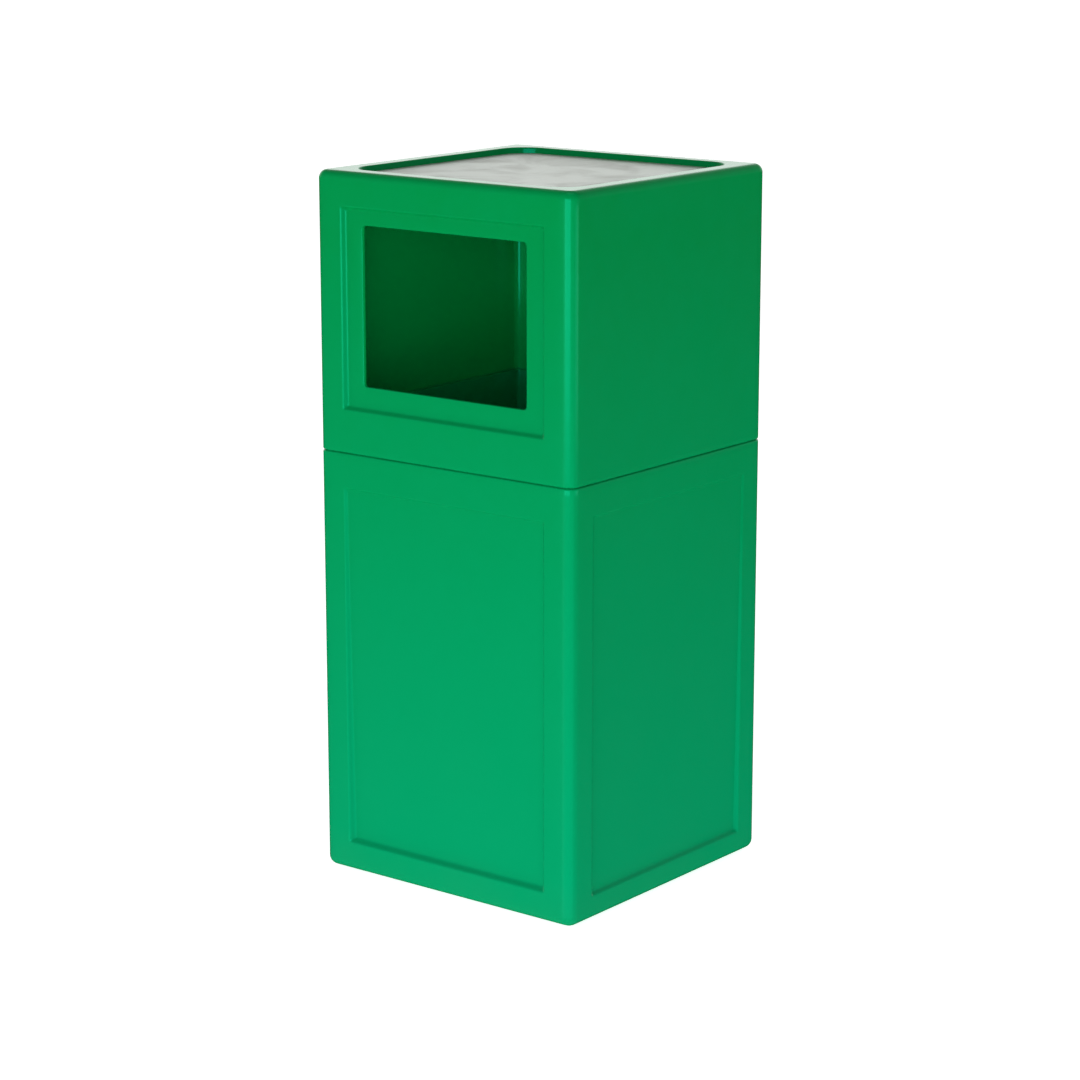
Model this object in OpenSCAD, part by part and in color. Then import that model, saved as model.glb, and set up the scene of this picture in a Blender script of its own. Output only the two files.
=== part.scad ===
// Square two-piece litter bin with a stub-out plate on top.
// A lower body carries a lift-off hood on an inner neck. The hood has the litter opening in its
// front face and a shallow recess in its roof, which holds a loose sheet-metal plate. A sheet-metal
// liner with a swinging bail stands inside, on a ballast plate.
// Origin: centre of the footprint, on the ground. +Z up, the litter opening faces -Y.

/* [Overall] */
// Outer width and depth of the square plan
width = 320; // [300:1:360]
// Height of the seam between body and hood above the ground
seam_z = 440; // [400:1:480]
// Overall height
height = 720; // [690:1:760]
// Radius of the four upright corners
corner_r = 11.5; // [11:0.5:14]
// Wall thickness of both mouldings
wall = 4; // [3.5:0.1:4.5]

/* [Body] */
// Rounding of the bottom edge
base_edge_r = 10; // [6:0.5:10.5]
// Clearance between the ground and the underside of the body
ground_gap = 2; // [1.5:0.1:3]
// Thickness of the floor
floor_t = 5; // [4:0.5:6]
// Height of the bosses on the floor, which carry the ballast plate
boss_h = 10; // [8:0.5:14]
// Height of the neck above the seam
neck_h = 39; // [30:1:41]
// Radial clearance between neck and hood
neck_gap = 0.6; // [0.4:0.1:1]

/* [Panels] */
// Half width of the recessed panels
panel_half = 126; // [118:1:130]
// Sideways run of a panel's sloped edge for each millimetre of depth
panel_slope = 0.65; // [0.5:0.05:0.9]
// Depth of the body's front and rear panels at the bottom
front_panel_low = 5.8; // [4:0.1:7.5]
// Depth of the body's front and rear panels at the top
front_panel_high = 2; // [1.5:0.1:4]
// Depth of the body's side panels at the bottom
side_panel_low = 4.2; // [2:0.1:5]
// Depth of the body's side panels at the top
side_panel_high = 1; // [0.8:0.1:2]
// Depth of the hood's front and rear panels
hood_panel = 4.5; // [4:0.1:6.5]

/* [Hood] */
// Width of the litter opening
opening_w = 204; // [180:1:220]
// Height of the litter opening
opening_h = 160; // [130:1:165]
// Bottom of the litter opening above the seam
opening_rise = 68.5; // [64:0.5:72]
// Corner radius of the litter opening
opening_r = 4; // [3:0.5:8]
// Rounding of the top edge
top_edge_r = 8.5; // [5:0.5:9]
// Width of the flat rim round the recess in the roof
rim_w = 23; // [20:0.5:30]
// Depth of the plate's surface below the rim
plate_drop = 5.6; // [4.5:0.1:8]

/* [Liner] */
// Outer width of the liner below its rim
liner_w = 286; // [270:1:286]
// Sheet thickness of the liner
liner_sheet = 1; // [0.8:0.1:1]
// Top of the liner's rolled rim, below the seam
liner_drop = 9.5; // [9:0.5:14]
// Reach of the bail from its pivot
bail_reach = 125; // [118:1:125]

/* [Hidden] */
$fn = 64;

green = "#00965a";
steel = "#b9bfc0";
zinc = "#a9b0b3";
iron = "#4a4a4c";
rubber = "#2a2a2a";

over = 1;                               // overrun of every cut
half = width / 2;
inner_half = half - wall;
inner_r = corner_r - wall;

// Body
floor_z = ground_gap + floor_t;
boss_z = floor_z + boss_h;
shadow_drop = 0.6;                      // the body's outer edge stands below the seam
shadow_in = 2.2;                        // and the shadow gap runs in this far
lip_r = 1.5;
neck_half = inner_half - neck_gap;
neck_r = inner_r - neck_gap;
neck_in = neck_half - wall;
neck_in_r = 4;
neck_top = seam_z + neck_h;
neck_edge_r = 1.5;
shoulder_z = seam_z - 7;
floor_fillet = 6;

front_panel_z = [33, 404];
side_panel_z = [27, 408];

// Feet, ballast and the holes in the floor
foot_at = 115;
foot_r = 18;
foot_h = 5;
foot_recess_r = foot_r + 0.3;
foot_head_r = 4.2;
foot_head_h = 2.4;
foot_shank_r = 1.9;
boss_r = 9;
anchor_at = 80;
anchor_r = 4.5;
drain_at = 25;
drain_r = 4;
ballast_half = 134;
ballast_t = 12;
ballast_z = boss_z;
ballast_top = ballast_z + ballast_t;
ballast_screw_at = 105;
ballast_shank_r = 3;
ballast_well_r = 13;
washer_r = 9;
washer_t = 1.6;
well_depth = 7;

// Hood
hood_z = seam_z + 0.2;
hood_panel_z = [484, 686];
opening_z = seam_z + opening_rise;
recess_half = half - rim_w;
recess_r = 28;
plate_top = height - plate_drop;
plate_t = 1.2;
plate_gap = 0.6;
plate_flange = 6;
plate_half = recess_half - plate_gap;
plate_r = recess_r - plate_gap;
recess_z = plate_top - plate_flange - 1;
tub_z = recess_z - wall;
pad_at = 95;
pad_r = 10;

// Liner
liner_half = liner_w / 2;
liner_r = 12;
liner_z = ballast_top + 0.2;
liner_edge_r = 4;
bead_r = 3;
wire_r = 1.95;
bead_z = seam_z - liner_drop - bead_r;
bead_path = liner_half + bead_r - 0.8;  // the bead rolls outwards, flush with the sheet's inner face
ear_t = 2;
ear_x = liner_half - liner_sheet - ear_t / 2;
ear_half_w = 14;
ear_foot = [bead_z - 32, bead_z - 8];
rivet_y = 8;
rivet_z = bead_z - 20;
rivet_r = 2.45;
rivet_head_r = 4.4;
bail_r = 2.5;
bail_z = bead_z + bead_r + bail_r + 1;
bail_x = liner_half + 3.4;
bail_pin_bend = 4;
bail_bend = 20;
bail_hole_r = bail_r + 0.06;
tongue_r = 10;
pin_end = ear_x - ear_t / 2 - 3.5;
grip_r = 11;
grip_len = 110;

// ---- shared shapes ----

// Square outline with rounded corners
module rounded_square(h, r) {
    square([2 * h, 2 * (h - r)], center = true);
    square([2 * (h - r), 2 * h], center = true);
    for (sx = [-1, 1], sy = [-1, 1])
        translate([sx * (h - r), sy * (h - r)])
            circle(r);
}

// Upright block on a rounded square
module block(h, r, z0, z1) {
    translate([0, 0, z0])
        linear_extrude(z1 - z0)
            rounded_square(h, r);
}

// Half of an upright section: width w, with its outer corners rounded by e0 below and e1 above
module edge_profile(w, z0, z1, e0, e1) {
    intersection() {
        union() {
            translate([0, z0 + e0])
                square([w, z1 - z0 - e0 - e1]);
            translate([0, z0])
                square([w - e0, e0 + e1]);
            translate([0, z1 - e0 - e1])
                square([w - e1, e0 + e1]);
            translate([w - e0, z0 + e0])
                circle(e0);
            translate([w - e1, z1 - e1])
                circle(e1);
        }
        translate([0, z0])
            square([w, z1 - z0]);
    }
}

// Block on a rounded square whose bottom and top edges are rounded too
module edged_block(h, r, z0, z1, e0, e1) {
    c = h - r;
    translate([0, c, 0])
        rotate([90, 0, 0])
            linear_extrude(2 * c)
                for (m = [0, 1])
                    mirror([m, 0])
                        edge_profile(h, z0, z1, e0, e1);
    for (a = [0, 90, 180, 270])
        rotate([0, 0, a])
            translate([c, c, 0]) {
                rotate_extrude(angle = 90)
                    edge_profile(r, z0, z1, e0, e1);
                if (a == 90 || a == 270)
                    rotate([90, 0, 0])
                        linear_extrude(2 * c)
                            edge_profile(r, z0, z1, e0, e1);
            }
}

// Pocket for a recessed panel in the face at -Y: sloped edges, and a floor that may lean
module panel(half_w, z, low, high, out, grow) {
    k = panel_slope;
    deep = max(low, high);
    face_y = -half;
    intersection() {
        rotate([90, 0, 90])
            translate([0, 0, -half_w - grow - over])
                linear_extrude(2 * (half_w + grow + over))
                    polygon([
                        [face_y - out, z[0] - grow - k * out],
                        [face_y + low, z[0] - grow + k * low],
                        [face_y + high, z[1] + grow - k * high],
                        [face_y - out, z[1] + grow + k * out]
                    ]);
        translate([0, 0, z[0] - 10])
            linear_extrude(z[1] - z[0] + 20)
                polygon([
                    [-half_w - grow - k * out, face_y - out],
                    [half_w + grow + k * out, face_y - out],
                    [half_w + grow - k * deep, face_y + deep],
                    [-half_w - grow + k * deep, face_y + deep]
                ]);
    }
}

// Panels in the face turned by a and in the one opposite, or the skin of wall behind them
module panels(a, z, low, high, skin) {
    out = skin ? -1 : 1;
    grow = skin ? wall * 0.6 : 0;
    t = skin ? wall : 0;
    for (turn = [a, a + 180])
        rotate([0, 0, turn])
            panel(panel_half, z, low + t, high + t, out, grow);
}

module body_panels(skin) {
    panels(0, front_panel_z, front_panel_low, front_panel_high, skin);
    panels(90, side_panel_z, side_panel_low, side_panel_high, skin);
}

module hood_panels(skin) {
    panels(0, hood_panel_z, hood_panel, hood_panel, skin);
}

// Four copies at plus and minus d
module at_corners(d) {
    for (sx = [-1, 1], sy = [-1, 1])
        translate([sx * d, sy * d, 0])
            children();
}

// Tube of radius r along a rounded square path
module square_loop(h, path_r, r) {
    for (i = [0:3])
        rotate([0, 0, 90 * i]) {
            translate([h, path_r - h, 0])
                rotate([-90, 0, 0])
                    cylinder(r = r, h = 2 * (h - path_r));
            translate([h - path_r, h - path_r, 0])
                rotate_extrude(angle = 90)
                    translate([path_r, 0])
                        circle(r);
        }
}

// ---- lower body ----

module body_cavity() {
    difference() {
        union() {
            edged_block(inner_half, inner_r, floor_z, shoulder_z, floor_fillet, 1);
            block(neck_in, neck_in_r, shoulder_z - over, neck_top + over);
        }
        body_panels(true);
    }
}

module floor_bosses() {
    at_corners(foot_at)
        translate([0, 0, floor_z - over])
            cylinder(r = boss_r, h = boss_h + over);
    for (sx = [-1, 1])
        translate([sx * ballast_screw_at, 0, floor_z - over])
            cylinder(r = boss_r, h = boss_h + over);
}

module floor_holes() {
    at_corners(foot_at) {
        translate([0, 0, ground_gap - over])
            cylinder(r = foot_recess_r, h = foot_h - ground_gap + over);
        translate([0, 0, foot_h - over])
            cylinder(r = foot_shank_r + 0.05, h = boss_z - foot_h - 2 + over);
    }
    at_corners(anchor_at)
        translate([0, 0, ground_gap - over])
            cylinder(r = anchor_r, h = floor_t + 2 * over);
    at_corners(drain_at)
        translate([0, 0, ground_gap - over])
            cylinder(r = drain_r, h = floor_t + 2 * over);
    for (sx = [-1, 1])
        translate([sx * ballast_screw_at, 0, floor_z - 2])
            cylinder(r = ballast_shank_r + 0.05, h = boss_h + 2 + over);
}

module body_shell() {
    color(green)
        difference() {
            union() {
                difference() {
                    union() {
                        edged_block(half, corner_r, ground_gap, seam_z - shadow_drop, base_edge_r, lip_r);
                        block(half - shadow_in, corner_r - shadow_in, shoulder_z, seam_z);
                        edged_block(neck_half, neck_r, shoulder_z, neck_top, 1, neck_edge_r);
                    }
                    body_panels(false);
                    body_cavity();
                }
                floor_bosses();
            }
            floor_holes();
        }
}

module ballast_plate() {
    color(iron)
        difference() {
            edged_block(ballast_half, 14, ballast_z, ballast_top, 1, 1);
            at_corners(anchor_at)
                translate([0, 0, ballast_z - over])
                    cylinder(r = 20, h = ballast_t + 2 * over);
            for (sx = [-1, 1])
                translate([sx * ballast_screw_at, 0, 0]) {
                    translate([0, 0, ballast_z - over])
                        cylinder(r = ballast_shank_r + 0.4, h = ballast_t + 2 * over);
                    translate([0, 0, ballast_top - well_depth])
                        cylinder(r = ballast_well_r, h = well_depth + over);
                }
        }
}

module ballast_screws() {
    color(steel)
        for (sx = [-1, 1])
            translate([sx * ballast_screw_at, 0, 0]) {
                translate([0, 0, floor_z - 1])
                    cylinder(r = ballast_shank_r, h = ballast_top - well_depth + washer_t - floor_z + 1);
                translate([0, 0, ballast_top - well_depth + washer_t])
                    cylinder(r = 5.77, h = 4, $fn = 6);
            }
}

module ballast_washers() {
    color(steel)
        for (sx = [-1, 1])
            translate([sx * ballast_screw_at, 0, ballast_top - well_depth])
                difference() {
                    cylinder(r = washer_r, h = washer_t);
                    translate([0, 0, -over])
                        cylinder(r = ballast_shank_r + 0.2, h = washer_t + 2 * over);
                }
}

module foot(sx, sy) {
    color(rubber)
        translate([sx * foot_at, sy * foot_at, 0])
            difference() {
                rotate_extrude()
                    edge_profile(foot_r, 0, foot_h, 1, 0.5);
                translate([0, 0, -over])
                    cylinder(r = foot_head_r + 0.6, h = foot_h - 2 + over);
                translate([0, 0, -over])
                    cylinder(r = foot_shank_r + 0.2, h = foot_h + 2 * over);
            }
}

module foot_screws() {
    color(steel)
        at_corners(foot_at)
            difference() {
                union() {
                    translate([0, 0, foot_h - 2 - foot_head_h])
                        cylinder(r = foot_head_r, h = foot_head_h);
                    translate([0, 0, foot_h - 2])
                        cylinder(r = foot_shank_r, h = boss_z - 4 - foot_h + 2);
                }
                translate([0, 0, foot_h - 2 - foot_head_h - over])
                    cylinder(r = 1.8, h = 1.4 + over, $fn = 6);
            }
}

// ---- hood ----

module hood_cavity() {
    difference() {
        edged_block(inner_half, inner_r, hood_z - over, height - wall, 0.2, top_edge_r - wall);
        hood_panels(true);
        block(recess_half + wall, recess_r + wall, tub_z, height);
    }
}

module litter_opening() {
    w = opening_w / 2;
    r = opening_r;
    translate([0, -half - over, opening_z])
        rotate([-90, 0, 0])
            linear_extrude(wall + hood_panel + 12) {
                translate([-w + r, -opening_h])
                    square([2 * (w - r), opening_h]);
                translate([-w, -opening_h + r])
                    square([2 * w, opening_h - 2 * r]);
                for (sx = [-1, 1], z = [r, opening_h - r])
                    translate([sx * (w - r), -z])
                        circle(r);
            }
}

module hood_shell() {
    color(green)
        difference() {
            edged_block(half, corner_r, hood_z, height, lip_r, top_edge_r);
            hood_panels(false);
            hood_cavity();
            litter_opening();
            block(recess_half, recess_r, recess_z, height + over);
        }
}

module seat_pads() {
    color(rubber)
        at_corners(pad_at)
            translate([0, 0, recess_z])
                cylinder(r = pad_r, h = plate_top - plate_t - 0.1 - recess_z);
}

module stub_plate() {
    color(steel)
        difference() {
            edged_block(plate_half, plate_r, plate_top - plate_flange, plate_top, 0.4, 1.5);
            block(plate_half - plate_t, plate_r - plate_t, plate_top - plate_flange - over,
                plate_top - plate_t);
        }
}

// ---- liner and bail ----

module liner_bucket() {
    color(zinc)
        difference() {
            union() {
                edged_block(liner_half, liner_r, liner_z, bead_z, liner_edge_r, 0.2);
                translate([0, 0, bead_z])
                    square_loop(bead_path, bead_path - liner_half + liner_r, bead_r);
            }
            edged_block(liner_half - liner_sheet, liner_r - liner_sheet, liner_z + liner_sheet,
                bead_z + bead_r + over, liner_edge_r - liner_sheet, 0.2);
            translate([0, 0, bead_z])
                square_loop(bead_path, bead_path - liner_half + liner_r, wire_r + 0.05);
            for (sx = [-1, 1], sy = [-1, 1])
                translate([sx * (liner_half - liner_sheet / 2), sy * rivet_y, rivet_z])
                    rotate([0, 90, 0])
                        cylinder(r = rivet_r + 0.05, h = 4 * liner_sheet, center = true);
        }
}

module liner_rim_wire() {
    color(steel)
        translate([0, 0, bead_z])
            square_loop(bead_path, bead_path - liner_half + liner_r, wire_r);
}

module liner_ear(sx) {
    color(zinc)
        translate([sx * ear_x, 0, 0])
            rotate([90, 0, 90])
                translate([0, 0, -ear_t / 2])
                    linear_extrude(ear_t)
                        difference() {
                            union() {
                                translate([-ear_half_w, ear_foot[0]])
                                    square([2 * ear_half_w, ear_foot[1] - ear_foot[0]]);
                                translate([-tongue_r, ear_foot[0]])
                                    square([2 * tongue_r, bail_z - ear_foot[0]]);
                                translate([0, bail_z])
                                    circle(tongue_r);
                            }
                            translate([0, bail_z])
                                circle(bail_hole_r);
                            for (sy = [-1, 1])
                                translate([sy * rivet_y, rivet_z])
                                    circle(rivet_r + 0.05);
                        }
}

module liner_rivets() {
    color(steel)
        for (sx = [0, 1], sy = [-1, 1])
            mirror([sx, 0, 0])
                translate([ear_x - ear_t / 2, sy * rivet_y, rivet_z])
                    rotate([0, 90, 0]) {
                        translate([0, 0, -1.6])
                            cylinder(r = rivet_head_r, h = 1.6);
                        cylinder(r = rivet_r, h = ear_t + liner_sheet);
                        translate([0, 0, ear_t + liner_sheet])
                            cylinder(r = rivet_head_r - 0.8, h = 1.2);
                    }
}

module bail_wire() {
    arm_end = bail_reach - bail_bend;
    color(steel)
        translate([0, 0, bail_z]) {
            for (m = [0, 1])
                mirror([m, 0, 0]) {
                    translate([pin_end, 0, 0])
                        rotate([0, 90, 0])
                            cylinder(r = bail_r, h = bail_x - bail_pin_bend - pin_end);
                    translate([pin_end - 2, 0, 0])
                        rotate([0, 90, 0])
                            cylinder(r = 4, h = 2);
                    translate([bail_x - bail_pin_bend, bail_pin_bend, 0])
                        rotate([0, 0, -90])
                            rotate_extrude(angle = 90)
                                translate([bail_pin_bend, 0])
                                    circle(bail_r);
                    translate([bail_x, bail_pin_bend, 0])
                        rotate([-90, 0, 0])
                            cylinder(r = bail_r, h = arm_end - bail_pin_bend);
                    translate([bail_x - bail_bend, arm_end, 0])
                        rotate_extrude(angle = 90)
                            translate([bail_bend, 0])
                                circle(bail_r);
                }
            translate([-(bail_x - bail_bend), bail_reach, 0])
                rotate([0, 90, 0])
                    cylinder(r = bail_r, h = 2 * (bail_x - bail_bend));
        }
}

module bail_grip() {
    color(rubber)
        translate([-grip_len / 2, bail_reach, bail_z])
            rotate([0, 90, 0])
                difference() {
                    rotate_extrude()
                        edge_profile(grip_r, 0, grip_len, 3, 3);
                    translate([0, 0, -over])
                        cylinder(r = bail_r + 0.05, h = grip_len + 2 * over);
                }
}

body_shell();
ballast_plate();
ballast_screws();
ballast_washers();
foot(-1, -1);  // foot_front_left
foot(1, -1);  // foot_front_right
foot(-1, 1);  // foot_rear_left
foot(1, 1);  // foot_rear_right
foot_screws();
hood_shell();
seat_pads();
stub_plate();
liner_bucket();
liner_rim_wire();
liner_ear(-1);  // liner_ear_left
liner_ear(1);  // liner_ear_right
liner_rivets();
bail_wire();
bail_grip();
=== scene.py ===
"""Looks of the square litter bin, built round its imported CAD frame.

The two green mouldings, the plate, the liner and the grip are lofted here from loops round the
upright axis, at the places and sizes of the CAD nodes they stand for. The smaller CAD nodes stay
and get materials. Lengths in the shape code are in millimetres and become metres in make_mesh().
"""
import math

import bmesh
import bpy
import numpy as np
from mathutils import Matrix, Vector, noise
from mathutils.geometry import delaunay_2d_cdt


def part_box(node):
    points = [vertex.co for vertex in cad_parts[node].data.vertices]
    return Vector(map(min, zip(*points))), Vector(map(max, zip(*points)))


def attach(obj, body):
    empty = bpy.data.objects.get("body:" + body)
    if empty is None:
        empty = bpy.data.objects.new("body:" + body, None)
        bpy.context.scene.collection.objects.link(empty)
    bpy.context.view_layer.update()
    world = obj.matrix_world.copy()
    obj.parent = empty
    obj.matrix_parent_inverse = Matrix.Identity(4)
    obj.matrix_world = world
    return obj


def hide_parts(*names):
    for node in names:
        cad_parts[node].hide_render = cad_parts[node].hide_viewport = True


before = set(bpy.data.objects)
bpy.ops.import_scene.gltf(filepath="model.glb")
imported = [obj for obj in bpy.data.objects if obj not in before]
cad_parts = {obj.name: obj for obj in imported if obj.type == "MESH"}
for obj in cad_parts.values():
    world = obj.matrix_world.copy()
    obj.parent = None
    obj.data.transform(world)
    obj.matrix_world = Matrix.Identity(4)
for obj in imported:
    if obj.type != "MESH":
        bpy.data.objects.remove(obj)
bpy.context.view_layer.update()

MM = 0.001


def direction(azimuth, elevation):
    """Unit vector from the bin. Azimuth 0 points to -Y, where the litter opening faces, and 90 to +X."""
    a, e = math.radians(azimuth), math.radians(elevation)
    return Vector((math.sin(a) * math.cos(e), -math.cos(a) * math.cos(e), math.sin(e)))


def node_box(node):
    """Lowest and highest corner of a CAD node, in millimetres."""
    lo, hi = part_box(node)
    return [v / MM for v in lo], [v / MM for v in hi]


# ---- dimensions, in millimetres ----

body_lo, body_hi = node_box("body_shell")
hood_lo, hood_hi = node_box("hood_shell")
plate_lo, plate_hi = node_box("stub_plate")
liner_lo, liner_hi = node_box("liner_bucket")
ballast_lo, _ = node_box("ballast_plate")
grip_lo, grip_hi = node_box("bail_grip")
pads_lo, _ = node_box("seat_pads")

HALF = hood_hi[0]                   # half the width of the square plan
TOP = hood_hi[2]
SEAM = hood_lo[2]                   # bottom edge of the hood
FLOOR_UNDER = body_lo[2]
NECK_TOP = body_hi[2]
WALL = 4.0
CORNER_R = 11.5
CORNER = HALF - CORNER_R            # centre line of the upright corners
FLOOR_T = 5.0
FLOOR_TOP = FLOOR_UNDER + FLOOR_T
BASE_EDGE_R = 10.0
LIP_R = 1.5
NECK_HALF = HALF - WALL - 0.6
LAND_HALF = HALF - 2.2
LEDGE_Z = SEAM - 0.8                # outer edge of the body, below the shadow gap
LAND_Z = SEAM - 0.2
SHOULDER_Z = LAND_Z - 7.0

PANEL_HALF = 126.0
PANEL_SLOPE = 0.65
BODY_FRONT = dict(z=(33.0, 404.0), low=5.8, high=2.0)
BODY_SIDE = dict(z=(27.0, 408.0), low=4.2, high=1.0)
HOOD_FRONT = dict(z=(484.0, 686.0), low=4.5, high=4.5)
STEP_SOFT = 1.5                     # rounding of the panels' sloped edges
FINE = 0.85                         # grid step across the panels' sloped edges
SKIN_GROW = WALL * 0.6

OPEN_HALF = 102.0
OPEN_Z = (SEAM - 0.2 + 68.5, SEAM - 0.2 + 228.5)
OPEN_R = 4.0
OPEN_EDGE = 0.8                     # rounding of the opening's edges

RECESS_HALF = HALF - 23.0
RECESS_R = 28.0
RECESS_Z = pads_lo[2]
TUB_Z = RECESS_Z - WALL
TOP_EDGE_R = 8.5
RECESS_EDGE_R = 1.5

FOOT_AT, FOOT_POCKET_R, FOOT_POCKET_Z = 115.0, 18.3, 5.0
ANCHOR_AT, ANCHOR_R = 80.0, 4.5
DRAIN_AT, DRAIN_R = 25.0, 4.0
BOSS_R, BOSS_Z = 9.0, ballast_lo[2]
BOSS_PLACES = [(x, y) for x in (-115.0, 115.0) for y in (-115.0, 115.0)] + [(-105.0, 0.0), (105.0, 0.0)]

ARC_STEPS = 8                       # segments in each upright corner


# ---- numbers along the loops ----

def spaced(a, b, step):
    """Evenly spaced values from a to b, about step apart, both ends included."""
    n = max(1, int(round(abs(b - a) / step)))
    return [a + (b - a) * i / n for i in range(n + 1)]


def merged(*runs):
    """One rising list of the runs' values, without near repeats."""
    out = []
    for v in sorted(v for run in runs for v in run):
        if not out or v - out[-1] > 0.05:
            out.append(v)
    return out


def quarter(n):
    """Angles from 0 to a right angle, in n steps."""
    return [math.pi / 2 * i / n for i in range(n + 1)]


HOLE_STEPS = 4
HOLE_R = OPEN_R + OPEN_EDGE
HOLE_HALF = OPEN_HALF + OPEN_EDGE
HOLE_Z = (OPEN_Z[0] - OPEN_EDGE, OPEN_Z[1] + OPEN_EDGE)
hole_sines = [HOLE_R * math.sin(a) for a in quarter(HOLE_STEPS)]
side_u = [HOLE_HALF - HOLE_R + s for s in hole_sines]
right_half = merged([0.0], spaced(12.5, HOLE_HALF - HOLE_R - 12.5, 12.5), side_u, [PANEL_HALF - 15.0],
                    spaced(PANEL_HALF - 8.5, PANEL_HALF + 2.5, FINE),
                    [PANEL_HALF + 7.0, PANEL_HALF + 14.0, CORNER])
COLUMNS = [-u for u in reversed(right_half[1:])] + right_half

body_foot, body_head = BODY_SIDE["z"]
BODY_ROWS = merged([FLOOR_UNDER + BASE_EDGE_R, 17.0, 21.5], spaced(body_foot - 3.0, body_foot + 15.0, 0.9),
                   spaced(48.0, 396.0, 14.0), spaced(body_head - 8.5, body_head + 2.5, FINE),
                   [416.0, 424.0, 432.0, LEDGE_Z - LIP_R])
hood_foot, hood_head = HOOD_FRONT["z"]
HOOD_ROWS = merged([SEAM + LIP_R, 446.0, 455.0, 465.0, 474.0, 480.0],
                   spaced(hood_foot - 2.0, hood_foot + 8.0, FINE), [498.0],
                   [HOLE_Z[0] + HOLE_R - s for s in hole_sines], spaced(522.0, 650.0, 12.8),
                   [HOLE_Z[1] - HOLE_R + s for s in hole_sines], [673.0],
                   spaced(hood_head - 8.0, hood_head + 2.0, FINE), [694.0, 703.0, TOP - TOP_EDGE_R])


# ---- lofting ----

def loop(half, r, z, columns=COLUMNS):
    """Points round a square of rounded corners, side by side: front, right, rear, left.

    Each row is x, y, z. The columns lie at the same share of every side."""
    centre = half - r
    pts = []
    for side in range(4):
        turn = side * math.pi / 2
        c, s = math.cos(turn), math.sin(turn)
        local = [(u * centre / columns[-1], -half) for u in columns]
        for k in range(1, ARC_STEPS):
            a = math.pi / 2 * k / ARC_STEPS
            local.append((centre + r * math.sin(a), -centre - r * math.cos(a)))
        pts += [(x * c - y * s, x * s + y * c, z) for x, y in local]
    return np.array(pts)


SIDE_STEP = len(COLUMNS) + ARC_STEPS - 1


def soft_max(a, b, r):
    h = np.maximum(r - np.abs(a - b), 0) / r
    return np.maximum(a, b) + h * h * r / 4


def soft_min(a, b, r):
    return -soft_max(-a, -b, r)


def panel_depth(u, z, spec, grow):
    """Depth of a recessed panel at u along the face and height z."""
    z0, z1 = spec["z"]
    inside = soft_min(PANEL_HALF + grow - np.abs(u), np.minimum(z - z0 + grow, z1 + grow - z), 2.0)
    floor = spec["low"] + (spec["high"] - spec["low"]) * (z - z0) / (z1 - z0)
    slope = soft_max(inside / PANEL_SLOPE, np.zeros_like(inside), STEP_SOFT)
    return np.minimum(soft_min(slope, np.full_like(slope, floor), STEP_SOFT), floor)


def ripple(u, z, seed):
    """Faint unevenness of a moulded face, in millimetres, fading out at the corners."""
    n = noise.noise(Vector((u / 95, z / 120, seed)))
    n += 0.45 * noise.noise(Vector((u / 38, z / 52, seed + 7)))
    return 0.16 * n * max(0.0, 1 - (u / CORNER) ** 6)


def with_panels(pts, front, side, grow=0.0, uneven=False):
    """The loop with its panels pressed in, and the faces' faint unevenness. No side, no side panels."""
    z = pts[0][2]
    out = pts.copy()
    u = np.array(COLUMNS)
    for k in range(4):
        first = k * SIDE_STEP
        spec = front if k % 2 == 0 else side
        depth = panel_depth(u, z, spec, grow) if spec else np.zeros(len(u))
        if uneven:
            depth = depth + np.array([ripple(v, z, 3.1 * k) for v in u])
        turn = k * math.pi / 2
        inward = np.array([-math.sin(turn), math.cos(turn), 0.0])
        out[first:first + len(COLUMNS)] += depth[:, None] * inward
    return out


def arc_loops(half, r, z, edge, out_sign, z_sign, start_flat, n=3, columns=COLUMNS):
    """Loops round a quarter-round edge.

    The edge's centre is at half, z. out_sign is +1 where it bulges away from the middle, z_sign is
    +1 where it bulges up, and start_flat starts at the flat end of the arc."""
    res = []
    for a in quarter(n):
        t = a if start_flat else math.pi / 2 - a
        reach = out_sign * edge * math.sin(t)
        rise = z_sign * edge * math.cos(t)
        res.append(loop(half + reach, r + reach, z + rise, columns))
    return res


def circle(centre, radius, z, n=32):
    """Points round a level circle."""
    return np.array([(centre[0] + radius * math.cos(2 * math.pi * i / n),
                      centre[1] + radius * math.sin(2 * math.pi * i / n), z) for i in range(n)])


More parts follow.
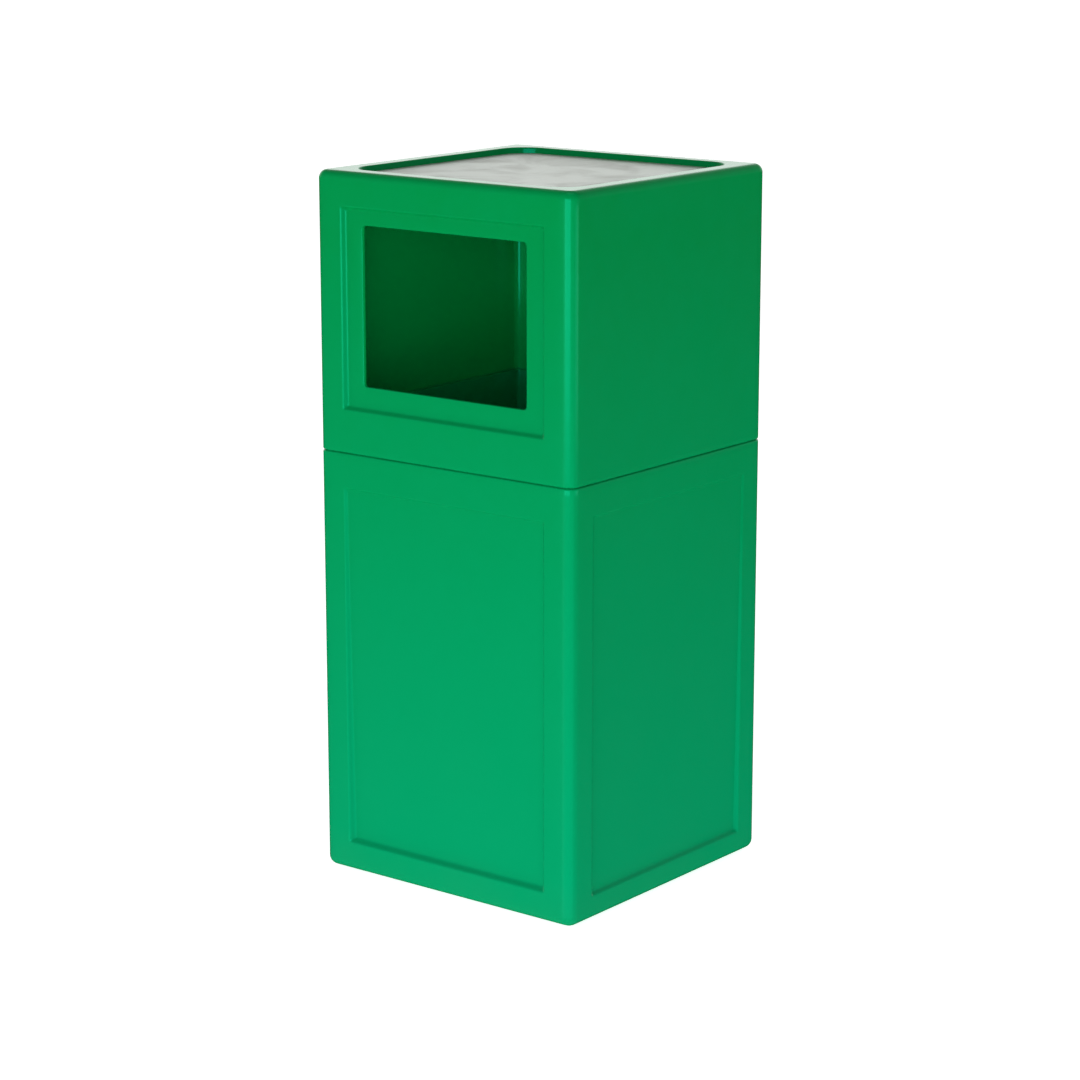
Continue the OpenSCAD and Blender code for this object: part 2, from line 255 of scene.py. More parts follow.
class Shell:
    """Vertices and faces of a piece, gathered in millimetres."""

    def __init__(self):
        self.verts = []
        self.faces = []

    def add(self, pts):
        first = len(self.verts)
        self.verts += [tuple(p) for p in pts]
        return first

    def band(self, a, b, n, closed=True, skip=()):
        """Quads between two loops of n vertices that start at a and b."""
        for i in range(n if closed else n - 1):
            j = (i + 1) % n
            if i not in skip:
                self.faces.append((a + i, a + j, b + j, b + i))

    def loft(self, loops, skip=None):
        """Bands through all the loops. skip maps a band's number to columns to leave out."""
        firsts = [self.add(p) for p in loops]
        n = len(loops[0])
        for m in range(len(loops) - 1):
            self.band(firsts[m], firsts[m + 1], n, skip=(skip or {}).get(m, ()))
        return firsts

    def rings(self, centre, profile, n=32, cap=False):
        """A turned shape: profile holds radius and height, up the z axis through centre."""
        firsts = [self.add(circle(centre, radius, z, n)) for radius, z in profile]
        for a, b in zip(firsts, firsts[1:]):
            self.band(a, b, n)
        if cap:
            self.faces.append(tuple(firsts[-1] + i for i in range(n)))

    def level_fill(self, outline, holes):
        """Fills the level area inside the outline, round the circles (centre, radius, count)."""
        z = outline[0][2]
        rims = [outline] + [circle(c, r, z, n) for c, r, n in holes]
        pts, edges = [], []
        for rim in rims:
            first = len(pts)
            pts += [Vector((p[0], p[1])) for p in rim]
            edges += [(first + i, first + (i + 1) % len(rim)) for i in range(len(rim))]
        verts, _, faces, *_ = delaunay_2d_cdt(pts, edges, [], 0, 1e-6)
        first = self.add([(v.x, v.y, z) for v in verts])
        reach = max(abs(p[0]) for p in outline)
        for f in faces:
            mid = sum((verts[k] for k in f), Vector((0, 0))) / len(f)
            in_hole = any((mid - Vector(c)).length < r * math.cos(math.pi / n) for c, r, n in holes)
            flat = abs((verts[f[1]] - verts[f[0]]).cross(verts[f[2]] - verts[f[0]])) < 1e-4
            if not in_hole and not flat and max(abs(mid.x), abs(mid.y)) < reach:
                self.faces.append(tuple(first + k for k in f))


def make_mesh(name, shell, material, body, replaced, weld=0.02):
    """Turns a Shell into a smooth-shaded object that rides on its body."""
    me = bpy.data.meshes.new(name)
    me.from_pydata([tuple(c * MM for c in v) for v in shell.verts], [], shell.faces)
    bm = bmesh.new()
    bm.from_mesh(me)
    bmesh.ops.remove_doubles(bm, verts=bm.verts[:], dist=weld * MM)
    bmesh.ops.dissolve_degenerate(bm, edges=bm.edges[:], dist=0.001 * MM)
    bmesh.ops.recalc_face_normals(bm, faces=bm.faces[:])
    bm.to_mesh(me)
    bm.free()
    me.validate()
    for p in me.polygons:
        p.use_smooth = True
    o = bpy.data.objects.new(name, me)
    bpy.context.collection.objects.link(o)
    me.materials.append(material)
    me.set_sharp_from_angle(angle=math.radians(40))
    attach(o, body)
    if replaced:
        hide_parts(*replaced)
    return o


# ---- lower body ----

INNER_HALF, INNER_R = HALF - WALL, CORNER_R - WALL
NECK_R = INNER_R - 0.6
NECK_IN_HALF, NECK_IN_R = NECK_HALF - WALL, 4.0


def body_moulding():
    """Outer skin, seam ledge, neck, inner skin, floor with its bosses, and underside."""
    shell = Shell()
    edge = BASE_EDGE_R
    loops = [loop(HALF - edge - 1, CORNER_R - edge - 1, FLOOR_UNDER)]
    loops += arc_loops(HALF - edge, CORNER_R - edge, FLOOR_UNDER + edge, edge, 1, -1, True, n=6)
    for z in BODY_ROWS[1:]:
        loops.append(with_panels(loop(HALF, CORNER_R, z), BODY_FRONT, BODY_SIDE, uneven=True))
    loops += arc_loops(HALF - LIP_R, CORNER_R - LIP_R, LEDGE_Z - LIP_R, LIP_R, 1, 1, False)[1:]
    ledge_r = CORNER_R - HALF + LAND_HALF
    loops.append(loop(LAND_HALF + 0.2, ledge_r + 0.2, LEDGE_Z))
    loops.append(loop(LAND_HALF, ledge_r, LEDGE_Z + 0.2))
    loops.append(loop(LAND_HALF - 0.4, ledge_r - 0.4, LAND_Z))
    loops.append(loop(NECK_HALF + 0.3, NECK_R + 0.3, LAND_Z))
    loops.append(loop(NECK_HALF, NECK_R, LAND_Z + 0.3))
    loops += arc_loops(NECK_HALF - 1.5, NECK_R - 1.5, NECK_TOP - 1.5, 1.5, 1, 1, False)
    loops += arc_loops(NECK_IN_HALF + 0.6, NECK_IN_R + 0.6, NECK_TOP - 0.6, 0.6, -1, 1, True)
    loops.append(loop(NECK_IN_HALF, NECK_IN_R, SHOULDER_Z + 0.4))
    loops.append(loop(NECK_IN_HALF + 0.4, NECK_IN_R + 0.4, SHOULDER_Z))
    loops += arc_loops(INNER_HALF - 1, INNER_R - 1, SHOULDER_Z - 1, 1, 1, 1, True)
    fillet = 6.0
    for z in reversed([z for z in BODY_ROWS if FLOOR_TOP + fillet + 1 < z < SHOULDER_Z - 2]):
        loops.append(with_panels(loop(INNER_HALF, INNER_R, z), BODY_FRONT, BODY_SIDE, SKIN_GROW))
    loops += arc_loops(INNER_HALF - fillet, INNER_R - fillet, FLOOR_TOP + fillet, fillet, 1, -1, False, n=5)
    loops.append(loop(INNER_HALF - fillet - 1, INNER_R - fillet - 1, FLOOR_TOP))
    shell.loft(loops)

    feet = [(sx * FOOT_AT, sy * FOOT_AT) for sx in (-1, 1) for sy in (-1, 1)]
    anchors = [(sx * ANCHOR_AT, sy * ANCHOR_AT) for sx in (-1, 1) for sy in (-1, 1)]
    drains = [(sx * DRAIN_AT, sy * DRAIN_AT) for sx in (-1, 1) for sy in (-1, 1)]
    small = [(c, ANCHOR_R + 0.3, 24) for c in anchors] + [(c, DRAIN_R + 0.3, 24) for c in drains]
    shell.level_fill(loops[-1], small + [(c, BOSS_R + 0.5, 32) for c in BOSS_PLACES])
    shell.level_fill(loops[0], small + [(c, FOOT_POCKET_R + 0.3, 48) for c in feet])
    for c, r, n in small:
        shell.rings(c, [(r, FLOOR_UNDER), (r - 0.3, FLOOR_UNDER + 0.3), (r - 0.3, FLOOR_TOP - 0.3),
                        (r, FLOOR_TOP)], n)
    for c in BOSS_PLACES:
        rim = [(BOSS_R + 0.5, FLOOR_TOP), (BOSS_R, FLOOR_TOP + 0.5), (BOSS_R, BOSS_Z - 0.5),
               (BOSS_R - 0.5, BOSS_Z)]
        if c in feet:
            shell.rings(c, rim + [(BOSS_R - 1.5, BOSS_Z)], 32, cap=True)
        else:
            shell.rings(c, rim + [(3.4, BOSS_Z), (3.05, BOSS_Z - 0.3), (3.05, FLOOR_TOP - 2)], 32, cap=True)
    for c in feet:
        shell.rings(c, [(FOOT_POCKET_R + 0.3, FLOOR_UNDER), (FOOT_POCKET_R, FLOOR_UNDER + 0.3),
                        (FOOT_POCKET_R, FOOT_POCKET_Z)], 48, cap=True)
    return shell


# ---- hood ----

def near(values, v):
    """Index of the value nearest to v."""
    return min(range(len(values)), key=lambda i: abs(values[i] - v))


HOLE_COLS = near(COLUMNS, -HOLE_HALF), near(COLUMNS, HOLE_HALF)
HOLE_ROWS = near(HOOD_ROWS, HOLE_Z[0]), near(HOOD_ROWS, HOLE_Z[1])


def hole_cells():
    """Cells (row, column) of the front face that the litter opening takes away or cuts across."""
    c0, c1 = HOLE_COLS
    r0, r1 = HOLE_ROWS
    gone, cut = [], []
    for row in range(r0, r1):
        for col in range(c0, c1):
            depth = min(row - r0, r1 - 1 - row) + min(col - c0, c1 - 1 - col)
            if depth >= HOLE_STEPS or min(row - r0, r1 - 1 - row) >= HOLE_STEPS \
                    or min(col - c0, c1 - 1 - col) >= HOLE_STEPS:
                gone.append((row, col))
            elif depth == HOLE_STEPS - 1:
                cut.append((row, col))
    return gone, cut


def hole_rim():
    """Grid points (row, column) round the litter opening, in order."""
    c0, c1 = HOLE_COLS
    r0, r1 = HOLE_ROWS
    n = HOLE_STEPS
    rim = [(r0, c) for c in range(c0 + n, c1 - n)]
    rim += [(r0 + k, c1 - n + k) for k in range(n)]
    rim += [(r, c1) for r in range(r0 + n, r1 - n)]
    rim += [(r1 - n + k, c1 - k) for k in range(n)]
    rim += [(r1, c) for c in range(c1 - n, c0 + n, -1)]
    rim += [(r1 - k, c0 + n - k) for k in range(n)]
    rim += [(r, c0) for r in range(r1 - n, r0 + n, -1)]
    rim += [(r0 + n - k, c0 + k) for k in range(n)]
    return rim


def cut_corners(shell, firsts, cut):
    """Closes the outer half of each cell that the opening's round corners cross."""
    c0, c1 = HOLE_COLS
    r0, r1 = HOLE_ROWS
    for row, col in cut:
        low, left = row - r0 < r1 - row, col - c0 < c1 - col
        corners = [(row, col), (row, col + 1), (row + 1, col + 1), (row + 1, col)]
        inner = (row + (1 if low else 0), col + (1 if left else 0))
        corners.remove(inner)
        shell.faces.append(tuple(firsts[r] + c for r, c in corners))


def rounded_hole(shell, outer_firsts, inner_firsts):
    """The litter opening's wall, with rounded edges, from the outer skin to the inner one."""
    rim = hole_rim()
    outer = [np.array(shell.verts[outer_firsts[r] + c]) for r, c in rim]
    inner = [np.array(shell.verts[inner_firsts[r] + c]) for r, c in rim]
    inward = []
    for p in outer:
        core_x = max(-(HOLE_HALF - HOLE_R), min(HOLE_HALF - HOLE_R, p[0]))
        core_z = max(HOLE_Z[0] + HOLE_R, min(HOLE_Z[1] - HOLE_R, p[2]))
        d = np.array([core_x - p[0], 0.0, core_z - p[2]])
        inward.append(d / np.linalg.norm(d))
    back = np.array([0.0, 1.0, 0.0])
    runs = [outer]
    for t in quarter(4)[1:]:
        step = OPEN_EDGE * (1 - math.cos(t))
        runs.append([p + n * OPEN_EDGE * math.sin(t) + back * step for p, n in zip(outer, inward)])
    for t in reversed(quarter(4)[1:]):
        step = OPEN_EDGE * (1 - math.cos(t))
        runs.append([p + n * OPEN_EDGE * math.sin(t) - back * step for p, n in zip(inner, inward)])
    runs.append(inner)
    shell.loft(runs)


def hood_moulding():
    """Outer skin with the litter opening, rim, recess, tub and inner skin."""
    shell = Shell()
    gone, cut = hole_cells()
    foot = [loop(INNER_HALF + 0.3, INNER_R + 0.3, SEAM)]
    foot += arc_loops(HALF - LIP_R, CORNER_R - LIP_R, SEAM + LIP_R, LIP_R, 1, -1, True)[:-1]
    rows = [with_panels(loop(HALF, CORNER_R, z), HOOD_FRONT, None, uneven=True) for z in HOOD_ROWS]
    edge = TOP_EDGE_R
    roof = arc_loops(HALF - edge, CORNER_R - edge, TOP - edge, edge, 1, 1, False, n=8)[1:]
    roof.append(loop(HALF - edge - 1.5, CORNER_R - edge - 1.5, TOP))
    edge = RECESS_EDGE_R
    roof.append(loop(RECESS_HALF + edge + 1, RECESS_R + edge + 1, TOP))
    roof += arc_loops(RECESS_HALF + edge, RECESS_R + edge, TOP - edge, edge, -1, 1, True, n=4)
    roof += arc_loops(RECESS_HALF - 1, RECESS_R - 1, RECESS_Z + 1, 1, 1, -1, False)
    roof.append(loop(RECESS_HALF - 2, RECESS_R - 2, RECESS_Z))
    outer = foot + rows + roof
    skipped = {}
    for row, col in gone + cut:
        skipped.setdefault(row, set()).add(col)
    firsts = shell.loft(outer, {len(foot) + row: cols for row, cols in skipped.items()})
    outer_firsts = firsts[len(foot):len(foot) + len(rows)]
    cut_corners(shell, outer_firsts, cut)

    tub_half, tub_r = RECESS_HALF + WALL, RECESS_R + WALL
    under = TOP - WALL
    inner = [loop(tub_half - 2, tub_r - 2, TUB_Z)]
    inner += arc_loops(tub_half - 1, tub_r - 1, TUB_Z + 1, 1, 1, -1, True)
    inner += arc_loops(tub_half + 0.6, tub_r + 0.6, under - 0.6, 0.6, -1, 1, False)
    edge = TOP_EDGE_R - WALL
    inner.append(loop(INNER_HALF - edge - 1, INNER_R - edge - 1, under))
    inner += arc_loops(INNER_HALF - edge, INNER_R - edge, under - edge, edge, 1, 1, True)
    kept = [j for j, z in enumerate(HOOD_ROWS) if SEAM + 1 < z < under - edge - 1]
    before = len(inner)
    for j in reversed(kept):
        inner.append(with_panels(loop(INNER_HALF, INNER_R, HOOD_ROWS[j]), HOOD_FRONT, None, SKIN_GROW))
    inner.append(loop(INNER_HALF, INNER_R, SEAM + 0.3))
    inner.append(foot[0])
    skip = {}
    for row, cols in skipped.items():
        skip[before + len(kept) - 1 - (row + 1 - kept[0])] = cols
    firsts = shell.loft(inner, skip)
    inner_firsts = {j: firsts[before + len(kept) - 1 - (j - kept[0])] for j in kept}
    cut_corners(shell, inner_firsts, cut)
    rounded_hole(shell, outer_firsts, inner_firsts)

    shell.level_fill(roof[-1], [])
    shell.level_fill(inner[0], [])
    return shell


# ---- plate, liner and grip ----

PLAIN = spaced(-1.0, 1.0, 0.125)
PLATE_SHEET = 1.2
PLATE_R = RECESS_R - 0.6
PLATE_DISH = 0.9


def stub_plate_sheet():
    """Sheet-metal plate with a turned-down flange, slightly dished."""
    half, top, foot = plate_hi[0], plate_hi[2], plate_lo[2]
    inner, inner_r = half - PLATE_SHEET, PLATE_R - PLATE_SHEET

    def dished(pts):
        out = pts.copy()
        share = (1 - (pts[:, 0] / half) ** 2) * (1 - (pts[:, 1] / half) ** 2)
        wave = np.array([noise.noise(Vector((x / 70, y / 70, 4.2))) for x, y in pts[:, :2]])
        out[:, 2] -= PLATE_DISH * np.maximum(share, 0) + 0.25 * (1 + wave) * np.minimum(1, 8 * share + 0.5)
        return out

    def disc(z, start):
        scales = (0.97, 0.9, 0.8, 0.7, 0.6, 0.5, 0.4, 0.3, 0.2, 0.1)
        return [dished(loop(start * s, PLATE_R * s, z, PLAIN)) for s in scales]

    shell = Shell()
    loops = list(reversed(disc(top - PLATE_SHEET, inner)))
    loops.append(dished(loop(inner - 0.5, inner_r - 0.5, top - PLATE_SHEET, PLAIN)))
    loops.append(dished(loop(inner, inner_r, top - PLATE_SHEET - 0.5, PLAIN)))
    loops.append(loop(inner, inner_r, foot + 0.3, PLAIN))
    loops.append(loop(inner + 0.3, inner_r + 0.3, foot, PLAIN))
    loops.append(loop(half - 0.3, PLATE_R - 0.3, foot, PLAIN))
    loops.append(loop(half, PLATE_R, foot + 0.3, PLAIN))
    edge = 1.5
    loops += [dished(p) for p in arc_loops(half - edge, PLATE_R - edge, top - edge, edge, 1, 1, False,
                                           n=4, columns=PLAIN)]
    loops += disc(top, half)
    firsts = shell.loft(loops)
    n = len(loops[0])
    shell.faces.append(tuple(firsts[0] + i for i in reversed(range(n))))
    shell.faces.append(tuple(firsts[-1] + i for i in range(n)))
    return shell


LINER_R = 12.0
LINER_SHEET = 1.0
LINER_EDGE = 4.0
BEAD_R = 3.0


def liner_sheet():
    """Folded liner with its rim rolled outwards round a wire."""
    half, floor = liner_hi[0] - 2 * BEAD_R + 0.8, liner_lo[2]
    bead_x, bead_z = liner_hi[0] - BEAD_R, liner_hi[2] - BEAD_R
    inner, inner_r = half - LINER_SHEET, LINER_R - LINER_SHEET
    heights = spaced(floor + 12, bead_z - 10, 32.0)

    def dented(pts):
        out = pts.copy()
        for k, p in enumerate(pts):
            n = noise.noise(Vector((p[0] / 110, p[1] / 110, p[2] / 130 + 9)))
            share = min(1.0, (p[2] - floor) / 60, (bead_z - p[2]) / 60)
            out[k][:2] *= 1 + 0.9 * n * max(share, 0) / half
        return out

    def wall(h, r, zs):
        return [dented(loop(h, r, z, PLAIN)) for z in zs]

    shell = Shell()
    e = LINER_EDGE - LINER_SHEET
    loops = [loop(inner - e - 2, inner_r - e - 2, floor + LINER_SHEET, PLAIN)]
    loops += arc_loops(inner - e, inner_r - e, floor + LINER_EDGE, e, 1, -1, True, columns=PLAIN)
    loops += wall(inner, inner_r, heights)
    turns = spaced(math.pi, -0.75 * math.pi, math.pi / 8)
    for a in turns:
        reach = bead_x - half + BEAD_R * math.cos(a)
        loops.append(loop(half + reach, LINER_R + reach, bead_z + BEAD_R * math.sin(a), PLAIN))
    loops += wall(half, LINER_R, reversed(heights))
    e = LINER_EDGE
    loops += arc_loops(half - e, LINER_R - e, floor + e, e, 1, -1, False, n=4, columns=PLAIN)
    loops.append(loop(half - e - 2, LINER_R - e - 2, floor, PLAIN))
    firsts = shell.loft(loops)
    n = len(loops[0])
    shell.faces.append(tuple(firsts[0] + i for i in reversed(range(n))))
    shell.faces.append(tuple(firsts[-1] + i for i in range(n)))
    return shell


def grip_handle():
    """Moulded grip on the bail, with shallow rings and rounded ends."""
    centre_y, centre_z = (grip_lo[1] + grip_hi[1]) / 2, (grip_lo[2] + grip_hi[2]) / 2
    radius, end = (grip_hi[2] - grip_lo[2]) / 2, grip_hi[0]
    bore, edge = 2.55, 3.0
    profile = [(bore, -end), (radius - edge, -end)]
    profile += [(radius - edge + edge * math.sin(a), -end + edge - edge * math.cos(a))
                for a in quarter(5)[1:]]
    groove = 0.6
    for x in spaced(-42.0, 42.0, 10.5):
        profile += [(radius, x - 1.6), (radius - 0.7 * groove, x - 0.9), (radius - groove, x),
                    (radius - 0.7 * groove, x + 0.9), (radius, x + 1.6)]
    profile += [(radius - edge + edge * math.cos(a), end - edge + edge * math.sin(a))
                for a in quarter(5)]
    profile += [(bore, end), (bore, -end)]
    shell = Shell()
    shell.rings((0.0, 0.0), profile, 40)
    shell.verts = [(z, centre_y + y, centre_z + x) for x, y, z in shell.verts]
    return shell


# ---- materials ----

class Nodes:
    """A small hand for building one node material."""

    def __init__(self, name, **sockets):
        self.material = bpy.data.materials.new(name)
        self.material.use_nodes = True
        self.tree = self.material.node_tree
        self.bsdf = self.tree.nodes["Principled BSDF"]
        for key, value in sockets.items():
            self.bsdf.inputs[key.replace("_", " ")].default_value = value
        coords = self.tree.nodes.new("ShaderNodeTexCoord")
        self.place = coords.outputs["Object"]

    def node(self, kind, **values):
        n = self.tree.nodes.new(kind)
        for key, value in values.items():
            setattr(n, key, value)
        return n

    def link(self, a, b):
        self.tree.links.new(a, b)

    def stretched(self, scale):
        """Object coordinates scaled along each axis."""
        n = self.node("ShaderNodeMapping")
        n.inputs["Scale"].default_value = scale
        self.link(self.place, n.inputs["Vector"])
        return n.outputs["Vector"]

    def noise(self, scale, detail=3.0, rough=0.5, at=None, twist=0.0):
        n = self.node("ShaderNodeTexNoise")
        n.inputs["Scale"].default_value = scale
        n.inputs["Detail"].default_value = detail
        n.inputs["Roughness"].default_value = rough
        n.inputs["Distortion"].default_value = twist
        self.link(at or self.place, n.inputs["Vector"])
        return n.outputs["Fac"]

    def cells(self, scale, feature="F1", output="Color"):
        n = self.node("ShaderNodeTexVoronoi", feature=feature)
        n.inputs["Scale"].default_value = scale
        self.link(self.place, n.inputs["Vector"])
        return n.outputs[output]

    def spread(self, value, lo, hi, to_lo=0.0, to_hi=1.0):
        """The value's range lo..hi stretched to to_lo..to_hi, and held there beyond it."""
        n = self.node("ShaderNodeMapRange")
        for key, v in (("From Min", lo), ("From Max", hi), ("To Min", to_lo), ("To Max", to_hi)):
            n.inputs[key].default_value = v
        self.link(value, n.inputs["Value"])
        return n.outputs["Result"]

    def maths(self, operation, a, b):
        n = self.node("ShaderNodeMath", operation=operation)
        for socket, v in zip(n.inputs, (a, b)):
            if isinstance(v, (int, float)):
                socket.default_value = v
            else:
                self.link(v, socket)
        return n.outputs[0]

    def mix(self, share, a, b):
        """Colour a where share is 0 and b where it is 1."""
        n = self.node("ShaderNodeMix", data_type="RGBA")
        self.link(share, n.inputs[0])
        for socket, v in zip((n.inputs[6], n.inputs[7]), (a, b)):
            if isinstance(v, tuple):
                socket.default_value = v + (1.0,)
            else:
                self.link(v, socket)
        return n.outputs[2]

    def axis(self, index):
        n = self.node("ShaderNodeSeparateXYZ")
        self.link(self.place, n.inputs[0])
        return n.outputs[index]

    def upward(self):
        """How far the surface faces up, from -1 to 1."""
        geometry = self.node("ShaderNodeNewGeometry")
        n = self.node("ShaderNodeSeparateXYZ")
        self.link(geometry.outputs["Normal"], n.inputs[0])
        return n.outputs[2]

    def inward(self):
        """1 on the inner skin, which faces the upright axis, and 0 on the outside."""
        place = self.node("ShaderNodeVectorMath", operation="MULTIPLY")
        self.link(self.place, place.inputs[0])
        place.inputs[1].default_value = (1.0, 1.0, 0.0)
        n = self.node("ShaderNodeVectorMath", operation="DOT_PRODUCT")
        self.link(self.node("ShaderNodeNewGeometry").outputs["Normal"], n.inputs[0])
        self.link(place.outputs["Vector"], n.inputs[1])
        return self.spread(n.outputs["Value"], -0.04, -0.09)

    def worn_edge(self, lo=0.51, hi=0.56):
        """1 on sharp outer edges, 0 on flat faces."""
        geometry = self.node("ShaderNodeNewGeometry")
        return self.spread(geometry.outputs["Pointiness"], lo, hi)

    def bump(self, heights):
        """Bump nodes in a row: each height is (value, strength, distance in metres)."""
        normal = None
        for value, strength, distance in heights:
            n = self.node("ShaderNodeBump")
            n.inputs["Strength"].default_value = strength
            n.inputs["Distance"].default_value = distance
            self.link(value, n.inputs["Height"])
            if normal:
                self.link(normal, n.inputs["Normal"])
            normal = n.outputs["Normal"]
        self.link(normal, self.bsdf.inputs["Normal"])

    def finish(self, colour, roughness):
        self.link(colour, self.bsdf.inputs["Base Color"])
        self.link(roughness, self.bsdf.inputs["Roughness"])
        return self.material


def streaks(m, scale, width):
    """Fine lines: a noise stretched by scale, thinned to the given width."""
    n = m.noise(1.0, 2.0, 0.5, m.stretched(scale), 0.3)
    return m.spread(m.maths("ABSOLUTE", m.maths("SUBTRACT", n, 0.5), 0.0), width, 0.0)


def green_plastic():
    """Glossy moulded plastic: painted floor light, lighter and bluer towards the foot; painted light on the
    hood's inner walls; faint mottling, orange peel, hairlines, dust.
    """
    m = Nodes("green_gloss_plastic", IOR=1.5, Specular_Tint=(0.02, 1.0, 0.66, 1.0))
    # painted floor light: the base colour grows lighter and bluer towards the foot, standing in for light
    # bounced up from the floor
    painted_floor_light = m.spread(m.axis(2), 0.66, 0.04)
    mottle = m.spread(m.noise(3.5, 3.0, 0.5, twist=0.3), 0.25, 0.75, 0.0, 0.10)
    fine = m.spread(m.noise(45.0, 3.0, 0.6), 0.3, 0.7, 0.0, 0.05)
    colour = m.mix(painted_floor_light, (0.0, 0.212, 0.044), (0.0, 0.292, 0.113))
    colour = m.mix(m.maths("ADD", mottle, fine), colour, (0.0, 0.31, 0.13))
    # painted light: the hood's inner walls above the neck get a brighter green, standing in for light that
    # reaches inside through the opening
    inside = m.maths("MULTIPLY", m.spread(m.axis(2), 0.478, 0.481), m.spread(m.axis(2), 0.703, 0.7))
    colour = m.mix(m.maths("MULTIPLY", inside, m.inward()), colour, (0.0, 0.37, 0.075))
    worn = m.maths("MULTIPLY", m.worn_edge(), m.spread(m.noise(35.0, 4.0, 0.6), 0.3, 0.8, 0.0, 0.3))
    colour = m.mix(worn, colour, (0.0, 0.33, 0.13))
    scratch = m.maths("MAXIMUM", streaks(m, (3.0, 3.0, 160.0), 0.006), streaks(m, (110.0, 90.0, 5.0), 0.005))
    scratch = m.maths("MULTIPLY", scratch, m.spread(m.noise(5.0, 2.0), 0.5, 0.9))
    colour = m.mix(m.maths("MULTIPLY", scratch, 0.06), colour, (0.0, 0.36, 0.15))
    low = m.spread(m.axis(2), 0.05, 0.0, 0.0, 0.02)
    top = m.spread(m.upward(), 0.9, 1.0, 0.0, 0.03)
    dust = m.maths("MULTIPLY", m.maths("ADD", low, top), m.spread(m.noise(18.0, 5.0, 0.65), 0.3, 0.7))
    colour = m.mix(dust, colour, (0.20, 0.28, 0.19))
    rough = m.spread(m.noise(11.0, 4.0, 0.6), 0.3, 0.7, 0.15, 0.19)
    rough = m.maths("ADD", rough, m.maths("MULTIPLY", scratch, 0.06))
    m.bump([(m.noise(16.0, 2.0, 0.5), 0.2, 0.0004), (m.noise(520.0, 2.0, 0.5), 0.08, 0.0001),
            (scratch, -0.04, 0.00005)])
    return m.finish(colour, rough)


def satin_steel():
    """Brushed stainless sheet with light stains and scratches."""
    m = Nodes("satin_steel_sheet", Metallic=1.0, Specular_Tint=(0.78, 0.83, 0.79, 1.0))
    grain = m.noise(1.0, 3.0, 0.6, m.stretched((6.0, 900.0, 900.0)))
    stain = m.spread(m.noise(14.0, 5.0, 0.65, twist=0.8), 0.45, 0.75)
    colour = m.mix(m.spread(grain, 0.3, 0.7), (0.60, 0.60, 0.585), (0.72, 0.72, 0.705))
    colour = m.mix(m.maths("MULTIPLY", stain, 0.35), colour, (0.42, 0.40, 0.36))
    scratch = streaks(m, (40.0, 25.0, 40.0), 0.004)
    rough = m.spread(grain, 0.3, 0.7, 0.30, 0.42)
    rough = m.maths("ADD", rough, m.maths("MULTIPLY", stain, 0.15))
    m.bump([(m.noise(22.0, 2.0), 0.3, 0.0005), (grain, 0.15, 0.00006), (scratch, -0.2, 0.00005)])
    return m.finish(colour, rough)


def galvanised():
    """Hot-dipped zinc with its crystal spangle and a few white stains."""
    m = Nodes("galvanised_spangle", Metallic=0.9)
    spangle = m.node("ShaderNodeSeparateColor")
    m.link(m.cells(95.0), spangle.inputs[0])
    share = spangle.outputs[0]
    colour = m.mix(m.spread(share, 0.0, 1.0), (0.40, 0.42, 0.43), (0.60, 0.62, 0.63))
    stain = m.spread(m.noise(12.0, 5.0, 0.7, twist=0.5), 0.55, 0.75, 0.0, 0.5)
    colour = m.mix(stain, colour, (0.62, 0.63, 0.61))
    rough = m.maths("ADD", m.spread(share, 0.0, 1.0, 0.30, 0.48), m.maths("MULTIPLY", stain, 0.3))
    m.bump([(m.noise(24.0, 2.0), 0.3, 0.0006), (m.noise(400.0, 2.0), 0.1, 0.00008)])
    return m.finish(colour, rough)


def zinc_plated(name, tint=(0.62, 0.64, 0.66)):
    """Plated steel of screws, washers and rivets."""
    m = Nodes(name, Metallic=1.0)
    patch = m.spread(m.noise(160.0, 4.0, 0.6), 0.35, 0.7)
    dark = tuple(0.72 * c for c in tint)
    colour = m.mix(patch, tint, dark)
    colour = m.mix(m.maths("MULTIPLY", m.worn_edge(), 0.5), colour, (0.78, 0.78, 0.77))
    rough = m.spread(patch, 0.0, 1.0, 0.24, 0.42)
    m.bump([(m.noise(1500.0, 2.0), 0.15, 0.00004), (m.noise(90.0, 2.0), 0.2, 0.0001)])
    return m.finish(colour, rough)


def drawn_wire():
    """Bright drawn wire with die lines and light tarnish."""
    m = Nodes("drawn_steel_wire", Metallic=1.0)
    tarnish = m.spread(m.noise(45.0, 5.0, 0.65), 0.45, 0.75)
    colour = m.mix(tarnish, (0.55, 0.56, 0.57), (0.34, 0.32, 0.29))
    line = m.noise(1.0, 2.0, 0.5, m.stretched((12.0, 12.0, 2200.0)))
    rough = m.maths("ADD", m.spread(line, 0.3, 0.7, 0.22, 0.34), m.maths("MULTIPLY", tarnish, 0.2))
    m.bump([(line, 0.2, 0.00003), (tarnish, 0.1, 0.00005)])
    return m.finish(colour, rough)


def rubber():
    """Dark rubber with a matt bloom and scuffs."""
    m = Nodes("moulded_rubber", Specular_IOR_Level=0.35)
    bloom = m.spread(m.noise(70.0, 5.0, 0.7), 0.35, 0.75)
    colour = m.mix(bloom, (0.018, 0.018, 0.018), (0.045, 0.044, 0.042))
    colour = m.mix(m.maths("MULTIPLY", m.worn_edge(), 0.4), colour, (0.09, 0.088, 0.085))
    rough = m.spread(bloom, 0.0, 1.0, 0.62, 0.82)
    m.bump([(m.noise(900.0, 3.0), 0.3, 0.0001), (m.noise(120.0, 3.0), 0.25, 0.0003)])
    return m.finish(colour, rough)


